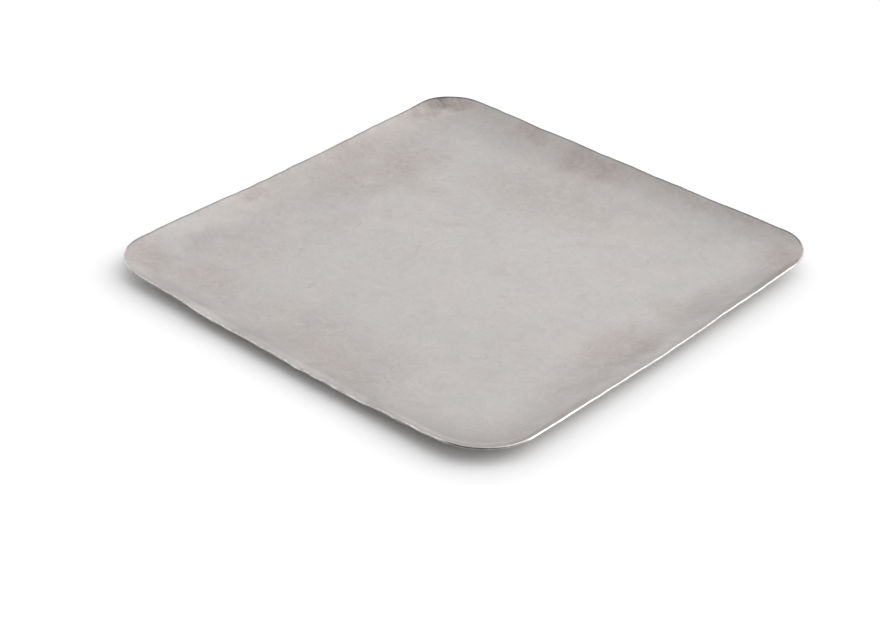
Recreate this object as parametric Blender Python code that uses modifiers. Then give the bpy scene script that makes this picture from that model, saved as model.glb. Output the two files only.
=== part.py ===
"""Square pill counting tray, pressed from one piece of sheet steel.

The tray is a single sheet: a flat floor that rests on the table, a broad
shallow dish all round it, and a narrow lip turned up more steeply along the
edge.  The corners are rounded and stand a little higher than the middles of
the sides, as they do when a sheet is drawn up over a rounded form.

Frame: metres, +Z up.  The origin is the middle of the flat underside, so the
tray stands on the plane z = 0.
"""

import math

import bmesh
import bpy

# ---------------------------------------------------------------- dimensions
SIDE = 0.2520               # across the lip's outer arrises, where the corners begin
SHEET = 0.0009              # sheet thickness (about 20 gauge)
EDGE_ROUND = 0.00018        # radius broken on both arrises of the cut edge

RIM_RUN = 0.0360            # horizontal run from the flat floor to the lip
LIP_HEIGHT = 0.0102         # height of the lip's lower arris at the corners
LIP_KICK = 0.0013           # part of that height gained by the steeper lip alone
LIP_START = 0.78            # share of the run where the lip begins to kick up
BEND_SHARE = 0.05           # share of the run over which it bends

# Corner 0 is at +X +Y and side 0 at +X; the rest follow anticlockwise.
CORNER_RADIUS = (0.0246, 0.0242, 0.0236, 0.0296)
SIDE_BOW = (0.00084, 0.00104, 0.00090, 0.00111)     # outward, at the middle of a side
SIDE_SAG = (0.00221, 0.00179, 0.00255, 0.00406)     # downward, at the middle of a side
FLOOR_CORNER_RADIUS = 0.0240

SIDE_STEPS = 6              # segments along half a side
ARC_STEPS = 10              # segments round a corner
RING_SHARES = (1.0, 0.915, 0.83, 0.805, 0.78, 0.64, 0.50, 0.34, 0.18, 0.0)

STEEL = (0.545, 0.525, 0.505, 1.0)

HALF = SIDE / 2


# ------------------------------------------------------------------ geometry
def kick(share):
    """How much of the lip's kick is gained: level, a short bend, then a straight ramp."""
    past = share - LIP_START
    if past <= 0.0:
        return 0.0
    whole = 1.0 - LIP_START - BEND_SHARE / 2
    if past < BEND_SHARE:
        return past ** 2 / (2 * BEND_SHARE) / whole
    return (past - BEND_SHARE / 2) / whole


def rim_height(share, lip):
    """Height of the underside at a share of the run: an even dish, then the kick."""
    return (lip - LIP_KICK) * share ** 2 + LIP_KICK * kick(share)


def outline(half, radii, index):
    """Point number `index` of a rounded square, anticlockwise from +X."""
    per_corner = 2 * SIDE_STEPS + ARC_STEPS
    corner, k = divmod(index % (4 * per_corner), per_corner)
    r = radii[corner]
    straight = half - r
    if k < SIDE_STEPS:
        along, across = half, straight * k / SIDE_STEPS
    elif k <= SIDE_STEPS + ARC_STEPS:
        a = math.pi / 2 * (k - SIDE_STEPS) / ARC_STEPS
        along, across = straight + r * math.cos(a), straight + r * math.sin(a)
    else:
        left = (per_corner - k) / SIDE_STEPS
        along, across = straight * left, half
    turn = math.pi / 2 * corner
    c, s = round(math.cos(turn)), round(math.sin(turn))
    return along * c - across * s, along * s + across * c


def side_share(x, y):
    """How fully a lip point belongs to the middle of each of the four sides."""
    x, y = x / HALF, y / HALF
    return [max(level, 0.0) ** 4 * (1.0 - along ** 2)
            for level, along in ((x, y), (y, x), (-x, y), (-y, x))]


def tray_mesh():
    """The tray's underside as an open surface, normals up."""
    count = 4 * (2 * SIDE_STEPS + ARC_STEPS)
    bm = bmesh.new()
    bmesh.ops.create_circle(bm, cap_ends=True, segments=count, radius=1.0)
    bm.faces.ensure_lookup_table()
    if bm.faces[0].normal.z < 0:
        bmesh.ops.reverse_faces(bm, faces=bm.faces[:])
    floor = bm.faces[0]
    step = 0.08
    for _ in RING_SHARES[1:]:
        bmesh.ops.inset_individual(bm, faces=[floor], thickness=step,
                                   use_even_offset=True)
    shrink = step / math.cos(math.pi / count)
    for v in bm.verts:
        ring = round((1.0 - math.hypot(v.co.x, v.co.y)) / shrink)
        index = round(math.atan2(v.co.y, v.co.x) / (2 * math.pi / count)) % count
        share = RING_SHARES[ring]
        radii = [FLOOR_CORNER_RADIUS + (r - FLOOR_CORNER_RADIUS) * share
                 for r in CORNER_RADIUS]
        x, y = outline(HALF - RIM_RUN * (1.0 - share), radii, index)
        sides = side_share(*outline(HALF, CORNER_RADIUS, index))
        bow = [share * b * w for b, w in zip(SIDE_BOW, sides)]
        lip = LIP_HEIGHT - sum(s * w for s, w in zip(SIDE_SAG, sides))
        v.co = (x + bow[0] - bow[2], y + bow[1] - bow[3], rim_height(share, lip))
    mesh = bpy.data.meshes.new("tray")
    bm.to_mesh(mesh)
    bm.free()
    return mesh


def satin_steel():
    mat = bpy.data.materials.new("satin_steel")
    mat.use_nodes = True
    shader = mat.node_tree.nodes["Principled BSDF"]
    shader.inputs["Base Color"].default_value = STEEL
    shader.inputs["Metallic"].default_value = 1.0
    shader.inputs["Roughness"].default_value = 0.42
    return mat


def build():
    for ob in list(bpy.data.objects):
        bpy.data.objects.remove(ob, do_unlink=True)
    home = bpy.data.collections.new("pill_counting_tray")
    bpy.context.scene.collection.children.link(home)

    mesh = tray_mesh()
    mesh.materials.append(satin_steel())
    mesh.shade_smooth()
    tray = bpy.data.objects.new("tray", mesh)
    home.objects.link(tray)

    shell = tray.modifiers.new("sheet_thickness", "SOLIDIFY")
    shell.thickness = SHEET
    shell.offset = 1.0
    shell.use_even_offset = True
    shell.use_quality_normals = True

    edge = tray.modifiers.new("broken_arrises", "BEVEL")
    edge.width = EDGE_ROUND
    edge.segments = 2
    edge.limit_method = "ANGLE"
    edge.angle_limit = math.radians(60.0)

    mesh.set_sharp_from_angle(angle=math.radians(40.0))


build()
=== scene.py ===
"""Looks of the pill counting tray: the finished sheet, its satin metal, the table and the light."""
import math

import bpy
import numpy as np
from mathutils import Matrix, Vector


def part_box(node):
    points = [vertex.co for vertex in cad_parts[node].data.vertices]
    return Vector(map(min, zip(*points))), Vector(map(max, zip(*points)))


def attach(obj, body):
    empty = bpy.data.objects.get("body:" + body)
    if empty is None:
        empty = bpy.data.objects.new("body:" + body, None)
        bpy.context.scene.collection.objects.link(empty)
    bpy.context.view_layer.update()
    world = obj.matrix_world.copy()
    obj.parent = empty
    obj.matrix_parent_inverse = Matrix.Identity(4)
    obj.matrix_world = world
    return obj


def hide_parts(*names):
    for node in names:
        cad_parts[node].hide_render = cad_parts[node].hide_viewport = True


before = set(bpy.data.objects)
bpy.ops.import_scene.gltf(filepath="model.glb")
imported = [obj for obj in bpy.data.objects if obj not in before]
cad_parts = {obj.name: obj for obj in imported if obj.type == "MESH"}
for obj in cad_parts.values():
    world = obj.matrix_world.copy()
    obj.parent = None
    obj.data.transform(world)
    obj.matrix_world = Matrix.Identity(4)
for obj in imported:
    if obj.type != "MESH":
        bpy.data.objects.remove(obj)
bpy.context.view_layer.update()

LOW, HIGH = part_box("tray")

# ------------------------------------------------------------------ the sheet
# The same driving dimensions as the CAD solid, in metres.
SHEET = 0.0009
HALF = 0.1260
RIM_RUN = 0.0360
LIP_HEIGHT = 0.0102
LIP_KICK = 0.0013
LIP_START = 0.78
BEND_SHARE = 0.05
CORNER_RADIUS = (0.0246, 0.0242, 0.0236, 0.0296)
SIDE_BOW = (0.00084, 0.00104, 0.00090, 0.00111)
SIDE_SAG = (0.00221, 0.00179, 0.00255, 0.00406)
FLOOR_CORNER_RADIUS = 0.0240

SIDE_STEPS = 44             # mesh segments along half a side
ARC_STEPS = 32              # mesh segments round a corner
COUNT = 4 * (2 * SIDE_STEPS + ARC_STEPS)


def waves(points, seed, shortest, longest, terms=28):
    """Smooth, repeatable unevenness: plane waves of random direction and phase, about -1 to 1."""
    rng = np.random.RandomState(seed)
    out = np.zeros(len(points))
    for _ in range(terms):
        length = math.exp(rng.uniform(math.log(shortest), math.log(longest)))
        a = rng.uniform(0, 2 * math.pi)
        k = 2 * math.pi / length
        out += np.sin(points[:, 0] * k * math.cos(a) + points[:, 1] * k * math.sin(a)
                      + rng.uniform(0, 2 * math.pi)) * rng.uniform(0.4, 1.0)
    return out / math.sqrt(terms / 2)


def round_waves(turn, seed, slowest, fastest, terms=24):
    """The same along the closed lip; turn runs from 0 to 1 round the tray."""
    rng = np.random.RandomState(seed)
    out = np.zeros(len(turn))
    for _ in range(terms):
        n = rng.randint(slowest, fastest + 1)
        out += np.sin(2 * math.pi * n * turn + rng.uniform(0, 2 * math.pi)) * rng.uniform(0.4, 1.0)
    return out / math.sqrt(terms / 2)


def kick(share, start, bend):
    """How much of the lip's kick is gained at each place round the lip: level, a short bend, then a straight ramp."""
    past = np.maximum(share - start, 0.0)
    whole = 1.0 - start - bend / 2
    return np.where(past < bend, past ** 2 / (2 * bend), past - bend / 2) / whole


def stretch(turn, first, last, soft):
    """1 from `first` to `last` round the lip (in turns), easing to 0 over `soft` at both ends."""
    middle, half = (first + last) / 2, (last - first) / 2
    away = np.abs((turn - middle + 0.5) % 1.0 - 0.5)
    t = np.clip((half + soft - away) / soft, 0, 1)
    return t * t * (3 - 2 * t)


def outline(half, radii):
    """COUNT points of a rounded square, anticlockwise from +X, as an array."""
    pts = []
    per = 2 * SIDE_STEPS + ARC_STEPS
    for corner in range(4):
        r = radii[corner]
        straight = half - r
        turn = math.pi / 2 * corner
        c, s = round(math.cos(turn)), round(math.sin(turn))
        for k in range(per):
            if k < SIDE_STEPS:
                u, v = half, straight * k / SIDE_STEPS
            elif k <= SIDE_STEPS + ARC_STEPS:
                a = math.pi / 2 * (k - SIDE_STEPS) / ARC_STEPS
                u, v = straight + r * math.cos(a), straight + r * math.sin(a)
            else:
                u, v = straight * (per - k) / SIDE_STEPS, half
            pts.append((u * c - v * s, u * s + v * c))
    return np.array(pts)


def side_share(lip):
    x, y = lip[:, 0] / HALF, lip[:, 1] / HALF
    return np.array([np.maximum(a, 0) ** 4 * (1 - b ** 2) for a, b in ((x, y), (y, x), (-x, y), (-y, x))])


def build_tray():
    lip = outline(HALF, CORNER_RADIUS)
    step = np.linalg.norm(np.roll(lip, -1, 0) - lip, axis=1)
    turn = np.concatenate([[0], np.cumsum(step)[:-1]]) / step.sum()
    sides = side_share(lip)
    height = LIP_HEIGHT - np.tensordot(SIDE_SAG, sides, 1)
    bow = np.array([SIDE_BOW[0] * sides[0] - SIDE_BOW[2] * sides[2], SIDE_BOW[1] * sides[1] - SIDE_BOW[3] * sides[3]]).T

    # the kick is crisp at both ends of the +X side, round the corner to -Y and at the far end of -Y,
    # and eases into the dish everywhere else
    crisp = np.maximum.reduce([stretch(turn, 0.062, 0.100, 0.020), stretch(turn, 0.822, 0.935, 0.020),
                               0.8 * stretch(turn, 0.640, 0.672, 0.018)])
    front = stretch(turn, 0.826, 0.925, 0.012)                   # the bend stands up as a fine ridge there
    narrow = stretch(turn, 0.815, 0.900, 0.03) + stretch(turn, 0.62, 0.68, 0.02) + 0.6 * stretch(turn, 0.050, 0.105, 0.02)
    start = 0.50 + (LIP_START - 0.50) * crisp + 0.065 * narrow * crisp
    bend = 0.46 + (BEND_SHARE - 0.46) * crisp
    rise = LIP_KICK * (0.55 + (0.45 - 0.30 * narrow) * crisp)

    # ring shares: 1 at the lip, 0 at the edge of the flat, negative ones run to the middle
    rim = np.concatenate([np.linspace(1, 0.74, 30)[:-1], np.linspace(0.74, 0.0, 18)])
    flat = np.linspace(0, 1, 30)[1:-1]
    rings = []
    for s in rim:
        radii = [FLOOR_CORNER_RADIUS + (r - FLOOR_CORNER_RADIUS) * s for r in CORNER_RADIUS]
        xy = outline(HALF - RIM_RUN * (1 - s), radii) + bow * s
        z = (height - rise) * s ** 2 + rise * kick(s, start, bend)
        z = z + 0.00011 * front * np.exp(-((s - start - 0.012) / 0.018) ** 2)
        rings.append(np.column_stack([xy, z]))
    base_half = HALF - RIM_RUN
    for f in flat:
        half = base_half * (1 - f)
        r = half * (FLOOR_CORNER_RADIUS / base_half * (1 - f) + 0.98 * f)
        rings.append(np.column_stack([outline(half, [r] * 4), np.zeros(COUNT)]))
    under = np.array(rings)                                     # ring, index, xyz
    share = np.concatenate([rim, -flat])
    return under, share, turn


def finish_tray():
    under, share, turn = build_tray()
    n_rings = len(share)
    # ---- how the hand-worked sheet departs from the drawn form
    flat_pts = under.reshape(-1, 3)
    dish = np.repeat(np.clip(share, 0, 1), COUNT)
    floor_wave = waves(flat_pts, 11, 0.050, 0.160) * 0.00016 + waves(flat_pts, 12, 0.018, 0.050) * 0.000035
    floor_wave = (floor_wave - floor_wave.min()) * (1 - 0.25 * dish)
    z = flat_pts[:, 2] + floor_wave
    hacked = stretch(turn, 0.66, 0.84, 0.03)                     # the -Y edge was cut least cleanly
    lip_wave = np.tile(round_waves(turn, 21, 5, 26), n_rings) * 0.00022 \
        + np.tile(round_waves(turn, 22, 30, 90), n_rings) * 0.00006
    z += lip_wave * dish ** 3
    in_out = np.tile(round_waves(turn, 23, 6, 30), n_rings) * 0.00018 \
        + np.tile(round_waves(turn, 24, 40, 120), n_rings) * (0.00008 + 0.00008 * np.tile(hacked, n_rings))
    pts = np.column_stack([flat_pts[:, 0], flat_pts[:, 1], z]).reshape(n_rings, COUNT, 3)
    out = pts[0] - pts[20]
    out[:, 2] = 0
    out /= np.linalg.norm(out, axis=1)[:, None]
    pts += (out[None] * (in_out * dish ** 4).reshape(n_rings, COUNT)[..., None])

    # ---- normals of the sheet, then its upper face a sheet's thickness away
    along = np.roll(pts, -1, 1) - np.roll(pts, 1, 1)
    inward = np.empty_like(pts)
    inward[1:-1] = pts[2:] - pts[:-2]
    inward[0] = pts[1] - pts[0]
    inward[-1] = pts[-1] - pts[-2]
    normal = np.cross(along, inward)
    normal /= np.linalg.norm(normal, axis=2)[..., None]
    thick = SHEET * (1 + 0.03 * waves(flat_pts, 31, 0.03, 0.12)).reshape(n_rings, COUNT)
    top = pts + normal * thick[..., None]

    # ---- the cut edge: both arrises broken, a slightly crowned face between them
    tangent = pts[0] - pts[1]
    tangent /= np.linalg.norm(tangent, axis=1)[:, None]          # out of the edge, along the sheet
    nrm = normal[0]
    t0 = thick[0][:, None]
    soft = (0.00012 + 0.00003 * round_waves(turn, 41, 8, 60))[:, None]
    soft = np.clip(soft, 0.00007, 0.00020)
    edge = []
    for across, back in ((1.0, 1.0), (0.995, 0.55), (0.96, 0.22), (0.86, 0.05), (0.72, 0.0), (0.5, -0.06),
                         (0.28, 0.0), (0.14, 0.05), (0.04, 0.22), (0.005, 0.55), (0.0, 1.0)):
        edge.append(pts[0] + nrm * t0 * across - tangent * soft * back)
    top_rings = [edge[0]] + [top[i] for i in range(1, n_rings)]
    low_rings = [edge[-1]] + [pts[i] for i in range(1, n_rings)]

    layers = list(reversed(top_rings)) + edge[1:-1] + low_rings   # middle of the upper face to middle of the lower
    layers = np.array(layers)
    co = layers.reshape(-1, 3)
    n_layers = len(layers)
    centre_top = layers[0].mean(0)
    centre_low = layers[-1].mean(0)
    co = np.vstack([co, centre_top, centre_low])
    faces = []
    for i in range(n_layers - 1):
        a = i * COUNT
        b = a + COUNT
        for j in range(COUNT):
            k = (j + 1) % COUNT
            faces.append((a + j, b + j, b + k, a + k))
    first, last = len(co) - 2, len(co) - 1
    end = (n_layers - 1) * COUNT
    for j in range(COUNT):
        k = (j + 1) % COUNT
        faces.append((first, j, k))
        faces.append((last, end + k, end + j))
    mesh = bpy.data.meshes.new("tray_sheet")
    mesh.from_pydata(co.tolist(), [], faces)
    mesh.validate()
    mesh.update()

    # ---- masks the metal is finished by: 1 on the cut edge, 1 on the underside, and the place in the dish
    n_top = n_rings
    cut = np.zeros(n_layers)
    cut[n_top - 1:n_top + len(edge) - 1] = 1.0
    low = np.zeros(n_layers)
    low[n_top + len(edge) - 2:] = 1.0
    low[n_top + 5:n_top + len(edge) - 2] = 1.0
    place = np.concatenate([share[::-1], np.ones(len(edge) - 2), share])
    for name, per_layer, ends in (("cut_edge", cut, (0, 0)), ("underside", low, (0, 1)),
                                  ("dish", np.clip(place, 0, 1), (0, 0))):
        data = np.concatenate([np.repeat(per_layer, COUNT), ends])
        attr = mesh.attributes.new(name, "FLOAT", "POINT")
        attr.data.foreach_set("value", data.astype(np.float32))
    ob = bpy.data.objects.new("tray_sheet", mesh)
    bpy.context.scene.collection.objects.link(ob)
    mesh.shade_smooth()
    return ob


tray = finish_tray()

# ------------------------------------------------------------------ the metal
class Net:
    """A short way to write shader nodes."""

    def __init__(self, material):
        self.tree = material.node_tree
        self.shader = self.tree.nodes["Principled BSDF"]

    def node(self, kind, **settings):
        n = self.tree.nodes.new(kind)
        for key, value in settings.items():
            setattr(n, key, value)
        return n

    def feed(self, socket, value):
        if isinstance(value, bpy.types.NodeSocket):
            self.tree.links.new(value, socket)
        elif value is not None:
            socket.default_value = value

    def math(self, op, a, b=None, c=None, clamp=False):
        n = self.node("ShaderNodeMath", operation=op, use_clamp=clamp)
        for i, v in enumerate((a, b, c)):
            if v is not None:
                self.feed(n.inputs[i], v)
        return n.outputs[0]

    def vector(self, op, a, b=None, scale=None):
        n = self.node("ShaderNodeVectorMath", operation=op)
        self.feed(n.inputs[0], a)
        if b is not None:
            self.feed(n.inputs[1], b)
        if scale is not None:
            self.feed(n.inputs["Scale"], scale)
        return n.outputs["Value"] if op in ("DOT_PRODUCT", "LENGTH", "DISTANCE") else n.outputs[0]

    def noise(self, where, size, detail=3.0, rough=0.5, warp=0.0):
        """Noise whose features are about `size` metres across, 0 to 1."""
        n = self.node("ShaderNodeTexNoise")
        self.feed(n.inputs["Vector"], where)
        n.inputs["Scale"].default_value = 1.0 / size
        n.inputs["Detail"].default_value = detail
        n.inputs["Roughness"].default_value = rough
        n.inputs["Distortion"].default_value = warp
        return n.outputs[0]

    def span(self, value, low, high, to_low=0.0, to_high=1.0, smooth=True):
        n = self.node("ShaderNodeMapRange", interpolation_type="SMOOTHSTEP" if smooth else "LINEAR")
        for i, v in enumerate((value, low, high, to_low, to_high)):
            self.feed(n.inputs[i], v)
        return n.outputs[0]

    def turned(self, where, angle, stretch):
        """Coordinates turned about Z and stretched, so noise read there runs as streaks."""
        n = self.node("ShaderNodeMapping")
        self.feed(n.inputs["Vector"], where)
        n.inputs["Rotation"].default_value = (0, 0, math.radians(angle))
        n.inputs["Scale"].default_value = stretch
        return n.outputs[0]

    def tint(self, factor, a, b):
        n = self.node("ShaderNodeMix", data_type="RGBA", blend_type="MIX")
        self.feed(n.inputs[0], factor)
        self.feed(n.inputs[6], a)
        self.feed(n.inputs[7], b)
        return n.outputs[2]

    def times(self, factor, colour, by):
        n = self.node("ShaderNodeMix", data_type="RGBA", blend_type="MULTIPLY")
        self.feed(n.inputs[0], factor)
        self.feed(n.inputs[6], colour)
        self.feed(n.inputs[7], by)
        return n.outputs[2]

    def marked(self, where, table):
        """The marks of a table laid over one another, each as strong as its last number."""
        total = None
        for x, y, rx, ry, angle, soft, depth in table:
            one = self.math("MULTIPLY", self.patch(where, x, y, rx, ry, angle, soft), depth)
            total = one if total is None else self.math("ADD", total, one)
        return total

    def patch(self, where, x, y, rx, ry, angle, soft=0.5):
        """1 inside an ellipse on the tray, given in millimetres, fading to 0 over `soft` of its radius."""
        n = self.node("ShaderNodeVectorMath", operation="SUBTRACT")
        self.feed(n.inputs[0], where)
        n.inputs[1].default_value = (x / 1000, y / 1000, 0)
        m = self.node("ShaderNodeMapping")
        m.vector_type = "POINT"
        self.tree.links.new(n.outputs[0], m.inputs["Vector"])
        m.inputs["Rotation"].default_value = (0, 0, math.radians(-angle))
        m.inputs["Scale"].default_value = (1.0, 1.0, 0.0)
        s = self.node("ShaderNodeVectorMath", operation="MULTIPLY")
        self.tree.links.new(m.outputs[0], s.inputs[0])
        s.inputs[1].default_value = (1000 / rx, 1000 / ry, 0)
        d = self.vector("LENGTH", s.outputs[0])
        return self.span(d, 1.0 - soft, 1.0 + soft, 1.0, 0.0)


# Marks on the upper face: x, y, half sizes in millimetres, angle, softness, how much darker.
STAINS = (
    # near the far lip: a two-lobed stain with a smaller one beside it
    (-25, 117, 9, 9, 10, 0.5, 0.115), (-8, 116, 9, 8, -12, 0.5, 0.10), (-15, 115, 22, 9, 0, 0.5, 0.06),
    (-62, 122, 11, 5, 0, 0.5, 0.14), (-57, 114, 4, 8, 20, 0.6, 0.04),
    # the two far corners, and the near left one
    (-117, 117, 18, 6, 45, 0.6, 0.27), (114, 106, 12, 15, 20, 0.8, 0.15), (60, 124, 60, 3.5, 0, 0.6, 0.11),
    (-121, 103, 5, 14, 0, 0.6, 0.22), (-114, -108, 14, 10, -40, 0.7, 0.14),
    (-90, -118, 24, 5, 0, 0.5, 0.05),
    # clouds left by wiping
    (-14, 82, 42, 20, 4, 0.7, 0.08), (-95, 68, 16, 18, 0, 0.7, 0.10), (-97, 25, 17, 28, 0, 0.7, 0.10),
    (-72, 46, 26, 8, -8, 0.6, 0.06), (-75, -12, 9, 14, -15, 0.6, 0.045), (0, -98, 62, 20, 2, 0.6, 0.07),
    (6, -107, 26, 10, 0, 0.6, 0.05), (37, -112, 7, 8, 0, 0.7, 0.06), (-84, -98, 20, 12, 0, 0.6, 0.08), (-92, -66, 17, 34, 0, 0.7, 0.04),
    # the right hand side
    (103, -6, 14, 20, 0, 0.7, 0.12), (104, 38, 13, 12, 0, 0.7, 0.08), (105, -42, 15, 24, 0, 0.6, 0.065),
    (109, 56, 9, 12, 0, 0.7, 0.07), (124, 82, 3, 22, 0, 0.4, 0.13), (112, 2, 5, 11, 0, 0.7, 0.05), (-121, 38, 7, 26, 0, 0.7, 0.08),
    # small marks
    (-122, -29, 3.6, 7, 0, 0.6, 0.17), (-63, 15, 5, 8, 30, 0.6, 0.035), (-34, 24, 6, 1.8, 30, 0.6, 0.05),
    (-28, -8, 2.2, 9, 15, 0.6, 0.045), (13, 11, 3, 8, 30, 0.6, 0.035), (36, 62, 9, 3, 20, 0.7, 0.045),
    (56, 47, 10, 3, -20, 0.7, 0.035),
)
# Places rubbed cleaner than the rest, told the same way, the long strip inside the +X lip being painted highlight; and
# places with a warmer bloom.
RUBBED_AND_LIT = ((45, 25, 40, 50, -20, 0.6, 0.04), (56, -88, 15, 11, 0, 0.6, 0.05), (-5, 10, 25, 40, 0, 0.7, 0.015),
         (122, -18, 5, 66, 0, 0.8, 0.19), (-118, -60, 7, 48, 0, 0.8, 0.10), (40, 110, 40, 6, 0, 0.8, 0.05), (74, 111, 24, 6, 0, 0.8, 0.06),
         (-119, -76, 5, 13, 0, 0.8, 0.05))
WARM = ((-118, 70, 8, 38, 0, 0.7, 0.35), (-15, 116, 26, 12, 0, 0.7, 0.4), (-62, 120, 12, 7, 0, 0.6, 0.3),
        (-118, -25, 7, 30, 0, 0.7, 0.3), (20, 70, 40, 12, 20, 0.7, 0.25))
COOL = (0.472, 0.452, 0.443, 1)
BLOOM = (0.491, 0.457, 0.433, 1)
RUST = (0.503, 0.456, 0.437, 1)


def satin_steel():
    """Worn, hand-polished sheet: clouded, wiped, stained near the rim and bright where the edge is rubbed; painted
    light and shade along the lips.
    """
    material = bpy.data.materials.new("satin_steel")
    material.use_nodes = True
    net = Net(material)
    shader = net.shader
    place = net.node("ShaderNodeTexCoord").outputs["Object"]
    cut = net.node("ShaderNodeAttribute", attribute_name="cut_edge").outputs["Fac"]
    below = net.node("ShaderNodeAttribute", attribute_name="underside").outputs["Fac"]
    dish = net.node("ShaderNodeAttribute", attribute_name="dish").outputs["Fac"]

    # the underside has its own marks: the same patterns read from elsewhere
    aside = net.vector("SCALE", (0.613, 0.287, 0.131), scale=below)
    where = net.vector("ADD", place, aside)
    wander = net.node("ShaderNodeTexNoise")
    net.feed(wander.inputs["Vector"], where)
    wander.inputs["Scale"].default_value = 1 / 0.022
    wander.inputs["Detail"].default_value = 4.0
    wander.inputs["Roughness"].default_value = 0.6
    shift = net.vector("SUBTRACT", wander.outputs["Color"], (0.5, 0.5, 0.5))
    bent = net.vector("ADD", where, net.vector("SCALE", shift, scale=0.022))

    clouds = net.noise(where, 0.060, 3.0, 0.5, 0.4)
    mottle = net.noise(where, 0.016, 5.0, 0.62, 0.8)
    wiped = net.noise(net.turned(where, 24, (1.0, 0.16, 1.0)), 0.0065, 4.0, 0.6, 0.5)
    rubbed = net.noise(net.turned(where, -58, (1.0, 0.10, 1.0)), 0.0030, 3.0, 0.6, 0.4)
    grain = net.noise(where, 0.0013, 3.0, 0.7)
    fine = net.noise(where, 0.00045, 1.0, 0.5)
    flecks = net.noise(bent, 0.0060, 6.0, 0.74, 1.0)
    worn = net.noise(where, 0.0042, 4.0, 0.62, 1.6)
    marks = net.math("MULTIPLY", net.span(worn, 0.57, 0.68), net.span(mottle, 0.46, 0.60))

    # hair scratches, in three ways, each kept to some places
    hairs = None
    for angle, width, low, size in ((12, 0.00042, 0.66, 0.031), (71, 0.00050, 0.68, 0.024), (-37, 0.00036, 0.67, 0.027)):
        line = net.noise(net.turned(where, angle, (1.0, 0.016, 1.0)), width, 1.0, 0.4, 0.25)
        thin = net.span(line, low, low + 0.07)
        some = net.span(net.noise(net.turned(where, angle + 90, (1, 1, 1)), size, 1.0, 0.5), 0.46, 0.62)
        one = net.math("MULTIPLY", thin, some)
        hairs = one if hairs is None else net.math("MAXIMUM", hairs, one)

    # tiny pits, in a third of the cells
    cell = net.node("ShaderNodeTexVoronoi", feature="F1")
    net.feed(cell.inputs["Vector"], where)
    cell.inputs["Scale"].default_value = 1 / 0.0085
    near = net.span(cell.outputs["Distance"], 0.018, 0.045, 1.0, 0.0)
    parted = net.node("ShaderNodeSeparateColor")
    net.feed(parted.inputs[0], cell.outputs["Color"])
    pits = net.math("MULTIPLY", near, net.span(parted.outputs[0], 0.62, 0.70))

    # ---- how much light the metal gives back
    tone = net.math("MULTIPLY_ADD", clouds, 0.16, 0.95)
    for value, amount in ((mottle, 0.17), (flecks, 0.30), (wiped, 0.045), (rubbed, 0.030), (grain, 0.200), (fine, 0.080)):
        tone = net.math("ADD", tone, net.math("MULTIPLY_ADD", value, amount, -amount / 2))
    top_only = net.math("SUBTRACT", 1.0, below)
    far_side = net.span(net.vector("DOT_PRODUCT", place, (-0.7, 0.7, 0)), 0.02, 0.08)
    stained = net.marked(bent, STAINS)
    uneven = net.span(flecks, 0.30, 0.70, 1.25, 0.75, smooth=False)
    stained = net.math("MULTIPLY", net.math("MULTIPLY", stained, uneven), top_only)
    # rubbed places and the painted highlight inside the +X lip, lightened together
    rubbed_and_lit = net.math("MULTIPLY", net.marked(bent, RUBBED_AND_LIT), top_only)
    tone = net.math("ADD", net.math("SUBTRACT", tone, stained), rubbed_and_lit)
    tone = net.math("SUBTRACT", tone, net.math("MULTIPLY", marks, 0.120))
    tone = net.math("SUBTRACT", tone, net.math("MULTIPLY", pits, 0.22))
    tone = net.math("ADD", tone, net.math("MULTIPLY", hairs, 0.020))
    tone = net.math("SUBTRACT", tone, net.math("MULTIPLY", below, 0.05))
    # painted shade: a thin dark line just inside the lip of the two far sides, +Y and -X
    x_way = net.vector("DOT_PRODUCT", place, (1, 0, 0))
    y_way = net.vector("DOT_PRODUCT", place, (0, 1, 0))
    far_y = net.math("MULTIPLY", net.span(y_way, 0.100, 0.118), net.span(x_way, 0.112, 0.124, 1.0, 0.0))
    far_x = net.math("MULTIPLY", net.span(x_way, -0.118, -0.100, 1.0, 0.0), net.span(y_way, -0.120, -0.106))
    far_lip_shade = net.math("MULTIPLY", net.span(dish, 0.970, 0.992), net.math("MAXIMUM", far_y, far_x))
    tone = net.math("SUBTRACT", tone, net.math("MULTIPLY", far_lip_shade, 0.48))
    # painted light: the bent lip of the -Y side is made lighter, patchy with the mottle
    painted_lip_light = net.math("MULTIPLY", net.span(y_way, -0.117, -0.100, 1.0, 0.0), net.span(dish, 0.805, 0.880))
    painted_lip_light = net.math("MULTIPLY", painted_lip_light, net.span(x_way, -0.112, -0.092))
    painted_lip_light = net.math("MULTIPLY", painted_lip_light, net.span(mottle, 0.30, 0.60, 0.6, 1.1))
    tone = net.math("ADD", tone, net.math("MULTIPLY", net.math("MULTIPLY", painted_lip_light, top_only), 0.18))
    # painted highlight: a thin bright line on the bend at the +X corner of the -Y side
    line = net.math("MULTIPLY", net.span(dish, 0.828, 0.846), net.span(dish, 0.852, 0.872, 1.0, 0.0))
    line = net.math("MULTIPLY", line, net.span(net.vector("DOT_PRODUCT", place, (0.7, -0.7, 0)), 0.120, 0.145))
    tone = net.math("ADD", tone, net.math("MULTIPLY", net.math("MULTIPLY", line, top_only), 0.16))
    # the cut edge: rubbed bright, but not everywhere
    bitten = net.span(net.noise(where, 0.0035, 4.0, 0.7), 0.40, 0.60, 0.10, 0.50)
    tone = net.math("ADD", tone, net.math("MULTIPLY", cut, bitten))

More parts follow.
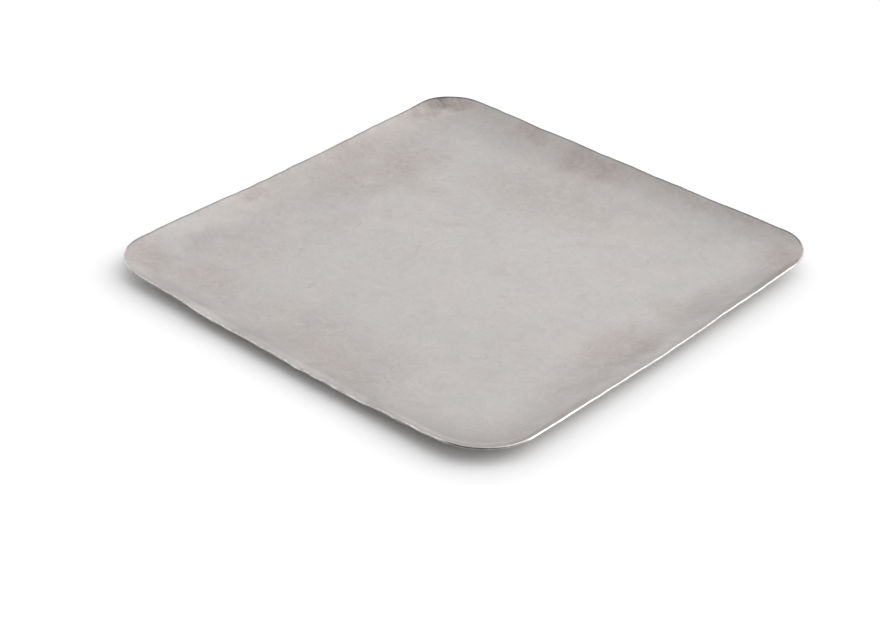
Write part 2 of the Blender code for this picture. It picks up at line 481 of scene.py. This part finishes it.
    # ---- tint: cool in the middle, a warm bloom near the lip and on the stains
    warm = net.math("MULTIPLY", net.math("POWER", dish, 1.5), net.math("MULTIPLY_ADD", far_side, 0.35, 0.10))
    warm = net.math("ADD", warm, net.marked(bent, WARM))
    warm = net.math("MULTIPLY_ADD", stained, 1.8, warm)
    hue = net.noise(bent, 0.028, 4.0, 0.62, 0.6)
    warm = net.math("ADD", warm, net.math("MULTIPLY_ADD", hue, 2.0, -0.85), clamp=True)
    colour = net.tint(warm, COOL, BLOOM)
    colour = net.tint(net.math("MULTIPLY", stained, 4.5, clamp=True), colour, RUST)
    colour = net.vector("SCALE", colour, scale=tone)
    net.feed(shader.inputs["Base Color"], colour)
    shader.inputs["Metallic"].default_value = 1.0

    # ---- how sharp it shines
    rough = net.math("MULTIPLY_ADD", mottle, 0.10, 0.35)
    rough = net.math("ADD", rough, net.math("MULTIPLY_ADD", wiped, 0.08, -0.04))
    rough = net.math("ADD", rough, net.math("MULTIPLY_ADD", grain, 0.06, -0.03))
    rough = net.math("ADD", rough, net.math("MULTIPLY_ADD", clouds, 0.06, -0.02))
    rough = net.math("SUBTRACT", rough, net.math("MULTIPLY", hairs, 0.06))
    rough = net.math("ADD", rough, net.math("MULTIPLY", stained, 0.35))
    rough = net.math("ADD", rough, net.math("MULTIPLY", below, 0.05))
    rough = net.math("SUBTRACT", rough, net.math("MULTIPLY", cut, 0.18), clamp=True)
    net.feed(shader.inputs["Roughness"], rough)

    # ---- the fine relief
    height = net.math("MULTIPLY", grain, 0.45)
    height = net.math("ADD", height, net.math("MULTIPLY", fine, 0.25))
    height = net.math("ADD", height, net.math("MULTIPLY", rubbed, 0.30))
    height = net.math("SUBTRACT", height, net.math("MULTIPLY", hairs, 0.55))
    height = net.math("SUBTRACT", height, net.math("MULTIPLY", pits, 2.5))
    bump = net.node("ShaderNodeBump")
    bump.inputs["Strength"].default_value = 0.35
    bump.inputs["Distance"].default_value = 0.00002
    net.feed(bump.inputs["Height"], height)
    net.feed(shader.inputs["Normal"], bump.outputs["Normal"])
    return material


tray.data.materials.append(satin_steel())

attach(tray, "root")
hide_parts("tray")

# ------------------------------------------------------------------ the table
bpy.ops.mesh.primitive_plane_add(size=6.0, location=(0, 0, LOW.z - 0.0002))
floor = bpy.context.object
floor.name = "table"
fmat = bpy.data.materials.new("white_table")
fmat.use_nodes = True
fb = fmat.node_tree.nodes["Principled BSDF"]
fb.inputs["Base Color"].default_value = (0.9, 0.9, 0.9, 1)
fb.inputs["Roughness"].default_value = 0.7
fb.inputs["Specular IOR Level"].default_value = 0.2
floor.data.materials.append(fmat)

# ------------------------------------------------------------------ the camera
UNIT = 0.1255                       # half the tray between the lip's inner arrises
AZ, EL, ROLL = math.radians(41.957), math.radians(32.693), math.radians(0.923)
aim = Vector((0.2831 * UNIT, -0.4642 * UNIT, LOW.z + LIP_HEIGHT + 0.00075))
back = Vector((math.sin(AZ) * math.cos(EL), -math.cos(AZ) * math.cos(EL), math.sin(EL)))
right = Vector((math.cos(AZ), math.sin(AZ), 0))
up = back.cross(right)
right_r = right * math.cos(ROLL) + up * math.sin(ROLL)
up_r = up * math.cos(ROLL) - right * math.sin(ROLL)
cam_data = bpy.data.cameras.new("camera")
cam_data.lens = 85.0
cam_data.sensor_width = 36.0
cam_data.clip_start = 0.01
cam = bpy.data.objects.new("camera", cam_data)
bpy.context.scene.collection.objects.link(cam)
rot = Matrix((right_r, up_r, back)).transposed()
cam.matrix_world = Matrix.Translation(aim + back * 7.7377 * UNIT) @ rot.to_4x4()
bpy.context.scene.camera = cam

# ------------------------------------------------------------------ the light
scene = bpy.context.scene
scene.view_settings.view_transform = "Standard"
scene.view_settings.look = "None"
world = bpy.data.worlds.new("studio")
world.use_nodes = True
scene.world = world

# Soft pools of white light round the room: azimuth (0 at +X, anticlockwise), elevation, how tight, how strong.
POOLS = ((90, 8, 14, 1.62), (180, 8, 14, 1.13), (45, 30, 10, 2.95), (90, 30, 10, 0.78), (135, 30, 10, 1.50),
         (180, 30, 10, 0.71), (0, 55, 10, 2.94), (240, 55, 10, 0.73), (300, 55, 10, 0.12), (0, 90, 10, 1.32),
         (42, 14, 60, 2.60), (229, 24, 40, 2.60))


def light_room():
    tree = world.node_tree
    tree.nodes.clear()
    look = tree.nodes.new("ShaderNodeTexCoord").outputs["Generated"]
    total = None
    for azimuth, elevation, tight, strong in POOLS:
        a, e = math.radians(azimuth), math.radians(elevation)
        dot = tree.nodes.new("ShaderNodeVectorMath")
        dot.operation = "DOT_PRODUCT"
        tree.links.new(look, dot.inputs[0])
        dot.inputs[1].default_value = (math.cos(a) * math.cos(e), math.sin(a) * math.cos(e), math.sin(e))
        fall = tree.nodes.new("ShaderNodeMath")
        fall.operation = "MULTIPLY_ADD"
        tree.links.new(dot.outputs["Value"], fall.inputs[0])
        fall.inputs[1].default_value = tight
        fall.inputs[2].default_value = math.log(strong) - tight
        lobe = tree.nodes.new("ShaderNodeMath")
        lobe.operation = "EXPONENT"
        tree.links.new(fall.outputs[0], lobe.inputs[0])
        if total is None:
            total = lobe.outputs[0]
        else:
            add = tree.nodes.new("ShaderNodeMath")
            add.operation = "ADD"
            tree.links.new(total, add.inputs[0])
            tree.links.new(lobe.outputs[0], add.inputs[1])
            total = add.outputs[0]
    lit = tree.nodes.new("ShaderNodeBackground")
    tree.links.new(total, lit.inputs["Strength"])
    pale = tree.nodes.new("ShaderNodeBackground")
    pale.inputs["Color"].default_value = (1, 1, 1, 1)
    seen = tree.nodes.new("ShaderNodeLightPath")
    mix = tree.nodes.new("ShaderNodeMixShader")
    tree.links.new(seen.outputs["Is Camera Ray"], mix.inputs[0])
    tree.links.new(lit.outputs[0], mix.inputs[1])
    tree.links.new(pale.outputs[0], mix.inputs[2])
    out = tree.nodes.new("ShaderNodeOutputWorld")
    tree.links.new(mix.outputs[0], out.inputs["Surface"])


light_room()
